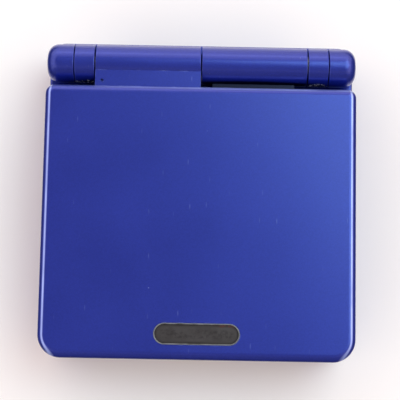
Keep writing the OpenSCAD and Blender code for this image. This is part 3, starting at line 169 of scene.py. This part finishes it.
def blue_lacquer():
    """Metallic lacquer sprayed on moulded ABS: a satin cobalt that brightens towards the light.

    Its flakes are drawn at 0.3 mm, coarser than the real 0.05 mm, so that they show.
    """
    material, tree, shader, mm = surface("blue_metallic_lacquer", "#16268e", 0.36, metallic=0.5)
    shader.inputs["Coat Roughness"].default_value = 0.22
    flakes = add(tree, "TexVoronoi", {"Vector": mm, "Scale": 1 / 0.3}).outputs["Color"]
    flake = add(tree, "SeparateColor", {0: flakes}).outputs[0]
    flaked = add(tree, "Mix", {
        FACTOR: flake, COLOUR_A: linear("#14248c"), COLOUR_B: linear("#192997"),
    }, data_type="RGBA").outputs[MIXED]

    # Short hairlines from a pocket, most of them along the case, each in its own 7 mm patch
    rubs = add(tree, "Mapping", {
        0: mm, "Scale": (1.0, 0.16, 1.0), "Rotation": (0, 0, math.radians(4)),
    }).outputs[0]
    strands = add(tree, "TexVoronoi", {"Vector": rubs, "Scale": 1 / 1.6})
    hairline = add(tree, "MapRange", {0: strands.outputs["Distance"], 1: 0.1, 2: 0.03}).outputs[0]
    patches = add(tree, "TexNoise", {"Vector": mm, "Scale": 1 / 7.0, "Detail": 3.0}).outputs[0]
    patchy = add(tree, "MapRange", {0: patches, 1: 0.44, 2: 0.62}).outputs[0]
    scratch = add(tree, "Math", {0: hairline, 1: patchy}, operation="MULTIPLY").outputs[0]
    faint = add(tree, "Math", {0: scratch, 1: 0.4}, operation="MULTIPLY").outputs[0]

    # Sparse specks of dust, one in some of the 6 mm cells
    cells = add(tree, "TexVoronoi", {"Vector": mm, "Scale": 1 / 6.0})
    speck = add(tree, "MapRange", {0: cells.outputs["Distance"], 1: 0.032, 2: 0.016}).outputs[0]
    chance = add(tree, "SeparateColor", {0: cells.outputs["Color"]}).outputs[1]
    kept = add(tree, "Math", {0: chance, 1: 0.7}, operation="GREATER_THAN").outputs[0]
    dust = add(tree, "Math", {0: speck, 1: kept}, operation="MULTIPLY").outputs[0]

    marks = add(tree, "Math", {0: faint, 1: dust}, operation="MAXIMUM").outputs[0]
    marked = add(tree, "Math", {0: marks, 1: 0.5}, operation="MULTIPLY").outputs[0]
    dusty = add(tree, "Mix", {FACTOR: marked, COLOUR_A: flaked, COLOUR_B: linear("#9aa3d8")},
                data_type="RGBA").outputs[MIXED]

    # Lacquer rubbed thin on outer edges, and a pale blue painted highlight along the lid's rim
    worn = edge_wear(tree, mm, 0.4, 3.0)
    edge_marked = add(tree, "Mix", {FACTOR: worn, COLOUR_A: dusty, COLOUR_B: linear("#7480cf")},
               data_type="RGBA").outputs[MIXED]
    # Painted highlight: the lid's rim turns pale blue
    rim_highlighted = add(tree, "Mix", {
        FACTOR: rim_painted_highlight(tree, mm), COLOUR_A: edge_marked, COLOUR_B: linear("#b4bfff"),
    }, data_type="RGBA").outputs[MIXED]

    # Painted shade in the gap between barrel and lid: the colour turns near-black and the coat is
    # taken away there
    gap_shade = inside(tree, mm, HINGE_GAP, HINGE_GAP_REACH)
    gap_shaded = add(tree, "Mix", {FACTOR: gap_shade, COLOUR_A: rim_highlighted, COLOUR_B: linear("#05052a")},
                  data_type="RGBA").outputs[MIXED]
    coat = add(tree, "MapRange", {0: gap_shade, 3: 0.8, 4: 0.0}).outputs[0]
    tree.links.new(coat, shader.inputs["Coat Weight"])

    # Chips down to bare plastic where the lid rubs the front of the knuckles
    chips = add(tree, "TexNoise", {"Vector": mm, "Scale": 1 / 0.6, "Detail": 2.0}).outputs[0]
    chipped = add(tree, "MapRange", {0: chips, 1: 0.54, 2: 0.57}).outputs[0]
    at_knuckle = inside(tree, mm, KNUCKLE_RUB, KNUCKLE_RUB_REACH)
    chip = add(tree, "Math", {0: chipped, 1: at_knuckle}, operation="MULTIPLY").outputs[0]
    bare = add(tree, "Mix", {FACTOR: chip, COLOUR_A: gap_shaded, COLOUR_B: linear("#f6f4f0")},
               data_type="RGBA").outputs[MIXED]
    tree.links.new(bare, shader.inputs["Base Color"])

    # Handling leaves the gloss uneven over some 20 mm, and spraying leaves orange peel of 0.9 mm
    smears = add(tree, "TexNoise", {"Vector": mm, "Scale": 1 / 20.0, "Detail": 4.0}).outputs[0]
    gloss = add(tree, "MapRange", {0: smears, 1: 0.3, 2: 0.7, 3: 0.28, 4: 0.38}).outputs[0]
    rough = add(tree, "Math", {0: marks, 1: 0.2, 2: gloss}, operation="MULTIPLY_ADD").outputs[0]
    tree.links.new(rough, shader.inputs["Roughness"])
    peel = add(tree, "TexNoise", {"Vector": mm, "Scale": 1 / 0.9, "Detail": 2.0}).outputs[0]
    height = add(tree, "Math", {0: marks, 1: -0.6, 2: peel}, operation="MULTIPLY_ADD").outputs[0]
    relief(tree, shader, height, 0.006)
    return material


def badge_metal():
    """Nickel-plated nameplate: a dark blasted field inside a bright rolled rim."""
    material, tree, shader, mm = surface("blasted_nickel", "#4c4341", 0.42, metallic=0.85)
    low, high = (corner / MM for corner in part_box("lid_badge"))
    height = add(tree, "SeparateXYZ", {0: mm}).outputs[2]
    rim = add(tree, "MapRange", {0: height, 1: high.z - 0.14, 2: high.z - 0.04}).outputs[0]
    grain = add(tree, "TexNoise", {"Vector": mm, "Scale": 1 / 0.4, "Detail": 6.0}).outputs[0]
    mottle = add(tree, "TexNoise", {"Vector": mm, "Scale": 1 / 3.0, "Detail": 5.0}).outputs[0]
    field = add(tree, "Mix", {
        FACTOR: mottle, COLOUR_A: linear("#3d3532"), COLOUR_B: linear("#5a5150"),
    }, data_type="RGBA").outputs[MIXED]

    # Distance from the badge's middle line, which is straight but for its round ends
    middle = (low + high) / 2
    off = add(tree, "VectorMath", {0: mm, 1: middle}, operation="SUBTRACT").outputs[0]
    spot = add(tree, "SeparateXYZ", {0: off})
    aside = add(tree, "Math", {0: spot.outputs[0]}, operation="ABSOLUTE").outputs[0]
    straight = (high.x - low.x - high.y + low.y) / 2
    past = add(tree, "Math", {0: aside, 1: straight}, operation="SUBTRACT").outputs[0]
    round_end = add(tree, "Math", {0: past, 1: 0.0}, operation="MAXIMUM").outputs[0]
    bent = add(tree, "CombineXYZ", {0: round_end, 1: spot.outputs[1]}).outputs[0]
    reach = add(tree, "VectorMath", {0: bent}, operation="LENGTH").outputs["Value"]

    # Darker just inside the rim, and flecks of dark finish left along the rubbed middle
    by_rim = add(tree, "MapRange", {0: reach, 1: 1.7, 2: 2.4}).outputs[0]
    mottle_mask = add(tree, "MapRange", {0: mottle, 1: 0.35, 2: 0.65, 3: 0.2, 4: 1.0}).outputs[0]
    darker_by_rim = add(tree, "Math", {0: by_rim, 1: mottle_mask}, operation="MULTIPLY").outputs[0]
    patchy = add(tree, "TexNoise", {"Vector": mm, "Scale": 1 / 0.7, "Detail": 5.0}).outputs[0]
    fleck = add(tree, "MapRange", {0: patchy, 1: 0.45, 2: 0.62}).outputs[0]
    middle_band = add(tree, "MapRange", {0: reach, 1: 1.3, 2: 0.9}).outputs[0]
    flecks = add(tree, "Math", {0: fleck, 1: middle_band}, operation="MULTIPLY").outputs[0]
    marked = add(tree, "Math", {0: flecks, 1: 0.4, 2: darker_by_rim}, operation="MULTIPLY_ADD",
                 use_clamp=True).outputs[0]
    dark = add(tree, "Mix", {FACTOR: marked, COLOUR_A: field, COLOUR_B: linear("#2a2322")},
               data_type="RGBA").outputs[MIXED]

    # Thin red-brown streaks of rust behind the rim at one end
    at_end = add(tree, "MapRange", {0: spot.outputs[0], 1: 3.4, 2: 5.5}).outputs[0]
    at_back = add(tree, "MapRange", {0: spot.outputs[1], 1: 1.6, 2: 2.1}).outputs[0]
    streaks = add(tree, "TexNoise", {"Vector": mm, "Scale": 1 / 0.7, "Detail": 4.0}).outputs[0]
    streak = add(tree, "MapRange", {0: streaks, 1: 0.46, 2: 0.6}).outputs[0]
    corner = add(tree, "Math", {0: at_end, 1: at_back}, operation="MULTIPLY").outputs[0]
    rust = add(tree, "Math", {0: corner, 1: streak}, operation="MULTIPLY").outputs[0]
    stained = add(tree, "Mix", {FACTOR: rust, COLOUR_A: dark, COLOUR_B: linear("#5c3934")},
                  data_type="RGBA").outputs[MIXED]
    worn_rim = add(tree, "Mix", {
        FACTOR: mottle_mask, COLOUR_A: linear("#b2aeb0"), COLOUR_B: linear("#7a7472"),
    }, data_type="RGBA").outputs[MIXED]
    plate = add(tree, "Mix", {FACTOR: rim, COLOUR_A: stained, COLOUR_B: worn_rim},
                data_type="RGBA").outputs[MIXED]
    tree.links.new(plate, shader.inputs["Base Color"])
    rough = add(tree, "MapRange", {0: rim, 3: 0.46, 4: 0.28}).outputs[0]
    tree.links.new(rough, shader.inputs["Roughness"])
    relief(tree, shader, grain, 0.01)
    return material


def moulded(name, colour, speckle, roughness, grit):
    """Injection-moulded plastic from a spark-eroded tool: a matt grain, polished where touched."""
    material, tree, shader, mm = surface(name, colour, roughness, ior=1.52)
    grain = add(tree, "TexNoise", {"Vector": mm, "Scale": 1 / grit, "Detail": 5.0}).outputs[0]
    tint = add(tree, "Mix", {
        FACTOR: grain, COLOUR_A: linear(colour), COLOUR_B: linear(speckle),
    }, data_type="RGBA").outputs[MIXED]
    worn = edge_wear(tree, mm, 0.35, 2.0)
    shade = add(tree, "Mix", {FACTOR: worn, COLOUR_A: tint, COLOUR_B: linear(speckle)},
                data_type="RGBA").outputs[MIXED]
    tree.links.new(shade, shader.inputs["Base Color"])
    patches = add(tree, "TexNoise", {"Vector": mm, "Scale": 1 / 4.0, "Detail": 3.0}).outputs[0]
    gloss = add(tree, "MapRange", {
        0: patches, 1: 0.3, 2: 0.7, 3: roughness + 0.06, 4: roughness - 0.06,
    }).outputs[0]
    tree.links.new(gloss, shader.inputs["Roughness"])
    relief(tree, shader, grain, 0.012)
    return material


def printed_acrylic():
    """Screen lens: clear acrylic, a black border printed on its back, greasy smears in front."""
    material, tree, shader, mm = surface("printed_acrylic", "#08090b", 0.06, ior=1.49)
    smears = add(tree, "TexNoise", {
        "Vector": mm, "Scale": 1 / 12.0, "Detail": 5.0, "Distortion": 0.8,
    }).outputs[0]
    gloss = add(tree, "MapRange", {0: smears, 1: 0.4, 2: 0.7, 3: 0.04, 4: 0.14}).outputs[0]
    tree.links.new(gloss, shader.inputs["Roughness"])

    # The border covers all that lies outside the clear window
    low, high = (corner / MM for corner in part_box("screen_gasket"))
    half = (high - low) / 2
    offset = add(tree, "VectorMath", {0: mm, 1: (low + high) / 2}, operation="SUBTRACT").outputs[0]
    across = add(tree, "VectorMath", {0: offset}, operation="ABSOLUTE").outputs[0]
    spread = add(tree, "SeparateXYZ", {0: across})
    wide = add(tree, "Math", {0: spread.outputs[0], 1: half.x - WINDOW_INSET},
               operation="GREATER_THAN").outputs[0]
    long = add(tree, "Math", {0: spread.outputs[1], 1: half.y - WINDOW_INSET},
               operation="GREATER_THAN").outputs[0]
    printed = add(tree, "Math", {0: wide, 1: long}, operation="MAXIMUM").outputs[0]
    cover = add(tree, "MapRange", {0: printed, 3: 0.3, 4: 1.0}).outputs[0]
    tree.links.new(cover, shader.inputs["Alpha"])
    relief(tree, shader, smears, 0.001)
    return material


def clear_plastic(name, colour, alpha):
    """Clear moulded polycarbonate, faintly wavy from the mould."""
    material, tree, shader, mm = surface(name, colour, 0.12, ior=1.58)
    waves = add(tree, "TexNoise", {"Vector": mm, "Scale": 1 / 3.0, "Detail": 2.0}).outputs[0]
    gloss = add(tree, "MapRange", {0: waves, 3: 0.06, 4: 0.2}).outputs[0]
    tree.links.new(gloss, shader.inputs["Roughness"])
    shader.inputs["Alpha"].default_value = alpha
    relief(tree, shader, waves, 0.004)
    return material


def display_glass():
    """Unlit reflective display: grey-green glass over rows of picture elements 0.25 mm apart."""
    material, tree, shader, mm = surface("display_glass", "#4b534d", 0.22)
    rows = add(tree, "TexWave", {"Vector": mm, "Scale": math.pi / 10 / 0.25, "Distortion": 0.0},
               bands_direction="X").outputs[0]
    tone = add(tree, "Mix", {
        FACTOR: rows, COLOUR_A: linear("#454d48"), COLOUR_B: linear("#565f58"),
    }, data_type="RGBA").outputs[MIXED]
    tree.links.new(tone, shader.inputs["Base Color"])
    relief(tree, shader, rows, 0.002)
    return material


def silicone_rubber():
    """Moulded silicone: soft, dull and slightly dusty."""
    material, tree, shader, mm = surface("silicone_rubber", "#53555d", 0.62, ior=1.43)
    dust = add(tree, "TexNoise", {"Vector": mm, "Scale": 1 / 0.8, "Detail": 6.0}).outputs[0]
    tone = add(tree, "Mix", {
        FACTOR: dust, COLOUR_A: linear("#4b4d55"), COLOUR_B: linear("#676a72"),
    }, data_type="RGBA").outputs[MIXED]
    tree.links.new(tone, shader.inputs["Base Color"])
    shader.inputs["Sheen Weight"].default_value = 0.2
    relief(tree, shader, dust, 0.01)
    return material


def plated_steel():
    """Zinc-plated steel: bright, with fine drawing lines and a cloudy finish."""
    material, tree, shader, mm = surface("zinc_plated_steel", "#a9abb0", 0.34, metallic=1.0)
    drawn = add(tree, "Mapping", {0: mm, "Scale": (0.2, 6.0, 6.0)}).outputs[0]
    lines = add(tree, "TexNoise", {"Vector": drawn, "Scale": 1 / 0.8, "Detail": 4.0}).outputs[0]
    cloud = add(tree, "TexNoise", {"Vector": mm, "Scale": 1 / 3.0, "Detail": 4.0}).outputs[0]
    tone = add(tree, "Mix", {
        FACTOR: cloud, COLOUR_A: linear("#95979c"), COLOUR_B: linear("#b9bbc0"),
    }, data_type="RGBA").outputs[MIXED]
    tree.links.new(tone, shader.inputs["Base Color"])
    gloss = add(tree, "MapRange", {0: lines, 3: 0.24, 4: 0.46}).outputs[0]
    tree.links.new(gloss, shader.inputs["Roughness"])
    relief(tree, shader, lines, 0.006)
    return material


def ribbon_foil():
    """Flexible circuit: amber polyimide film over copper tracks 0.6 mm apart."""
    material, tree, shader, mm = surface("polyimide_foil", "#a8742a", 0.3, metallic=0.3)
    tracks = add(tree, "TexWave", {"Vector": mm, "Scale": math.pi / 10 / 0.6, "Distortion": 0.0},
                 bands_direction="X").outputs[0]
    tone = add(tree, "Mix", {
        FACTOR: tracks, COLOUR_A: linear("#8a5a1e"), COLOUR_B: linear("#c08a3c"),
    }, data_type="RGBA").outputs[MIXED]
    tree.links.new(tone, shader.inputs["Base Color"])
    relief(tree, shader, tracks, 0.02)
    return material


def solder_mask():
    """Green solder mask on glass-fibre board, raised over its copper tracks."""
    material, tree, shader, mm = surface("solder_mask", "#14603c", 0.3)
    tracks = add(tree, "TexVoronoi", {"Vector": mm, "Scale": 1 / 1.6}, distance="MANHATTAN",
                 feature="F1").outputs["Distance"]
    copper = add(tree, "MapRange", {0: tracks, 1: 0.45, 2: 0.5}).outputs[0]
    tone = add(tree, "Mix", {
        FACTOR: copper, COLOUR_A: linear("#0f5434"), COLOUR_B: linear("#1f7a4c"),
    }, data_type="RGBA").outputs[MIXED]
    tree.links.new(tone, shader.inputs["Base Color"])
    relief(tree, shader, copper, 0.03)
    return material


# ---- The pieces and their finishes ----

FINISHES = {
    blue_lacquer(): [
        "lid_outer_shell", "lid_bezel", "hinge_barrel_cover", "hinge_cap_left", "hinge_cap_right",
        "base_top_shell", "base_bottom_shell", "battery_cover",
    ],
    badge_metal(): ["lid_badge"],
    moulded("silver_grey_abs", "#9ea2ad", "#c4c7cf", roughness=0.4, grit=0.3): [
        "dpad", "action_key_a", "action_key_b", "start_key", "select_key", "light_key",
        "trigger_left", "trigger_right",
    ],
    moulded("black_polyamide", "#1d1d20", "#36363a", roughness=0.5, grit=0.25): [
        "board_chips", "slot_connector", "link_socket", "power_socket", "speaker",
        "volume_control", "screen_gasket",
    ],
    moulded("cream_nylon", "#d8d2c2", "#ebe7dc", roughness=0.5, grit=0.25): [
        "ribbon_socket", "status_lights",
    ],
    moulded("battery_wrap", "#34373e", "#4a4e57", roughness=0.42, grit=0.6): ["battery_pack"],
    printed_acrylic(): ["screen_lens"],
    clear_plastic("clear_light_guide", "#dfe8ea", alpha=0.25): ["light_guide"],
    clear_plastic("clear_light_pipe", "#cfe5d2", alpha=0.6): ["light_pipes"],
    display_glass(): ["lcd_panel"],
    silicone_rubber(): [
        "dpad_membrane", "action_key_membrane", "menu_key_membrane", "light_key_membrane",
        "dpad_pivot_nub", "lid_screw_plugs", "power_slider", "volume_slider",
    ],
    plated_steel(): [
        "lcd_holder", "lid_screws", "hinge_clutch", "hinge_shaft", "hinge_bush",
        "battery_cover_screw", "case_screws", "board_screws", "slot_shield", "trigger_springs",
        "trigger_pins", "trigger_switches", "power_switch",
    ],
    ribbon_foil(): ["display_ribbon", "board_ribbon", "battery_contacts", "slot_contacts"],
    solder_mask(): ["main_board"],
}
for finish, names in FINISHES.items():
    for name in names:
        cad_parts[name].material_slots[0].material = finish
bare_nodes = set(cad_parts) - {name for names in FINISHES.values() for name in names}
assert not bare_nodes, f"these nodes have no finish: {sorted(bare_nodes)}"


# ---- Stage, lights and camera ----

def floor():
    """A plain white table, 6 m across, whose top is where the console stands."""
    half = 3.0
    corners = [(-half, -half, 0), (half, -half, 0), (half, half, 0), (-half, half, 0)]
    mesh = bpy.data.meshes.new("floor")
    mesh.from_pydata(corners, [], [(0, 1, 2, 3)])
    table = bpy.data.objects.new("floor", mesh)
    bpy.context.scene.collection.objects.link(table)
    material, tree, shader, mm = surface("white_table", "#fff0e9", 0.7)
    shader.inputs["Specular IOR Level"].default_value = 0.2
    cloud = add(tree, "TexNoise", {"Vector": mm, "Scale": 1 / 60.0, "Detail": 2.0}).outputs[0]
    tone = add(tree, "Mix", {
        FACTOR: cloud, COLOUR_A: linear("#fdede6"), COLOUR_B: linear("#fff3ec"),
    }, data_type="RGBA").outputs[MIXED]

    # As if black cards lay beside and before the console: in reflections the table ends there
    spot = add(tree, "SeparateXYZ", {0: mm})
    aside = add(tree, "Math", {0: spot.outputs[0]}, operation="ABSOLUTE").outputs[0]
    beside = add(tree, "MapRange", {0: aside, 1: 50.0, 2: 70.0}).outputs[0]
    before = add(tree, "MapRange", {0: spot.outputs[1], 1: -45.0, 2: -65.0}).outputs[0]
    cards = add(tree, "Math", {0: beside, 1: before}, operation="MAXIMUM").outputs[0]
    reflected = add(tree, "LightPath").outputs["Is Glossy Ray"]
    mirrored = add(tree, "Math", {0: cards, 1: reflected}, operation="MULTIPLY").outputs[0]
    shown = add(tree, "Mix", {FACTOR: mirrored, COLOUR_A: tone, COLOUR_B: linear("#2c2a2c")},
                data_type="RGBA").outputs[MIXED]
    tree.links.new(shown, shader.inputs["Base Color"])
    mesh.materials.append(material)


def softbox(name, azimuth, elevation, distance, width, height, brightness, colour):
    """A soft rectangular lamp that faces the console. Its face has a brightness of 1 for white.

    Azimuth turns from the back towards the right and elevation rises from the table, both in
    degrees. Lengths are in metres.
    """
    lamp = bpy.data.lights.new(name, "AREA")
    lamp.shape = "RECTANGLE"
    lamp.size, lamp.size_y = width, height
    lamp.energy = brightness * math.pi * width * height
    lamp.color = linear(colour)[:3]
    holder = bpy.data.objects.new(name, lamp)
    bpy.context.scene.collection.objects.link(holder)
    around, above = math.radians(azimuth), math.radians(elevation)
    holder.location = (
        distance * math.cos(above) * math.sin(around),
        distance * math.cos(above) * math.cos(around),
        distance * math.sin(above),
    )
    holder.rotation_euler = (math.pi / 2 - above, 0, math.pi - around)
    holder.visible_camera = False


def sky():
    """A room with a bright back wall, a dimmer front and ceiling, and a warmer right side."""
    world = bpy.data.worlds.new("pale_room")
    bpy.context.scene.world = world
    world.use_nodes = True
    tree = world.node_tree
    way = add(tree, "SeparateXYZ", {0: add(tree, "TexCoord").outputs["Generated"]})
    wall = add(tree, "MapRange", {
        0: way.outputs[1], 1: -0.3, 2: 0.6, 3: FRONT_LIGHT, 4: BACK_LIGHT,
    }).outputs[0]
    overhead = add(tree, "MapRange", {0: way.outputs[2], 1: 0.78, 2: 0.88}).outputs[0]
    room = add(tree, "Mix", {FACTOR: overhead, NUMBER_A: wall, NUMBER_B: CEILING_LIGHT},
               data_type="FLOAT").outputs[0]

    # In reflections, grey cards stand before the front wall, and low down before the side walls
    path = add(tree, "LightPath")
    before = add(tree, "MapRange", {0: way.outputs[1], 1: -0.5, 2: -0.62}).outputs[0]
    low_down = add(tree, "MapRange", {0: way.outputs[2], 1: 0.42, 2: 0.28}).outputs[0]
    not_behind = add(tree, "MapRange", {0: way.outputs[1], 1: 0.6, 2: 0.4}).outputs[0]
    beside = add(tree, "Math", {0: low_down, 1: not_behind}, operation="MULTIPLY").outputs[0]
    card = add(tree, "Math", {0: before, 1: beside}, operation="MAXIMUM").outputs[0]
    mirrored = add(tree, "Math", {0: card, 1: path.outputs["Is Glossy Ray"]},
                   operation="MULTIPLY").outputs[0]
    carded = add(tree, "Mix", {FACTOR: mirrored, NUMBER_A: room, NUMBER_B: 0.25},
                 data_type="FLOAT").outputs[0]

    # The camera sees plain white beyond the table
    strength = add(tree, "Mix", {
        FACTOR: path.outputs["Is Camera Ray"], NUMBER_A: carded, NUMBER_B: 1.0,
    }, data_type="FLOAT").outputs[0]
    background = tree.nodes["Background"]
    tree.links.new(strength, background.inputs["Strength"])
    rightward = add(tree, "MapRange", {0: way.outputs[0], 1: -0.6, 2: 0.6}).outputs[0]
    tint = add(tree, "Mix", {
        FACTOR: rightward, COLOUR_A: linear("#fafaff"), COLOUR_B: linear("#faf0ee"),
    }, data_type="RGBA").outputs[MIXED]
    tree.links.new(tint, background.inputs["Color"])


def camera():
    """Looks down on the closed lid."""
    data = bpy.data.cameras.new("camera")
    data.sensor_width = 36.0
    data.lens = data.sensor_width / 2 / math.tan(math.radians(CAMERA_FIELD / 2))
    data.clip_start, data.clip_end = 0.01, 20.0
    holder = bpy.data.objects.new("camera", data)
    bpy.context.scene.collection.objects.link(holder)
    holder.location = CAMERA_AT
    holder.rotation_euler = [math.radians(a) for a in (CAMERA_TILT, CAMERA_ROLL, CAMERA_TURN)]
    bpy.context.scene.camera = holder


floor()
sky()
softbox("window", azimuth=58, elevation=61, distance=1.2, width=0.8, height=0.8,
        brightness=3.2, colour="#bceafb")
softbox("strip_left", azimuth=-90, elevation=14, distance=1.0, width=1.2, height=0.08,
        brightness=1.6, colour="#f4f6ff")
softbox("strip_right", azimuth=90, elevation=34, distance=1.0, width=1.2, height=0.08,
        brightness=1.0, colour="#f4f6ff")
softbox("strip_back", azimuth=0, elevation=33, distance=1.0, width=1.2, height=0.16,
        brightness=1.35, colour="#e8f4ff")
camera()
bpy.context.scene.view_settings.view_transform = "Standard"
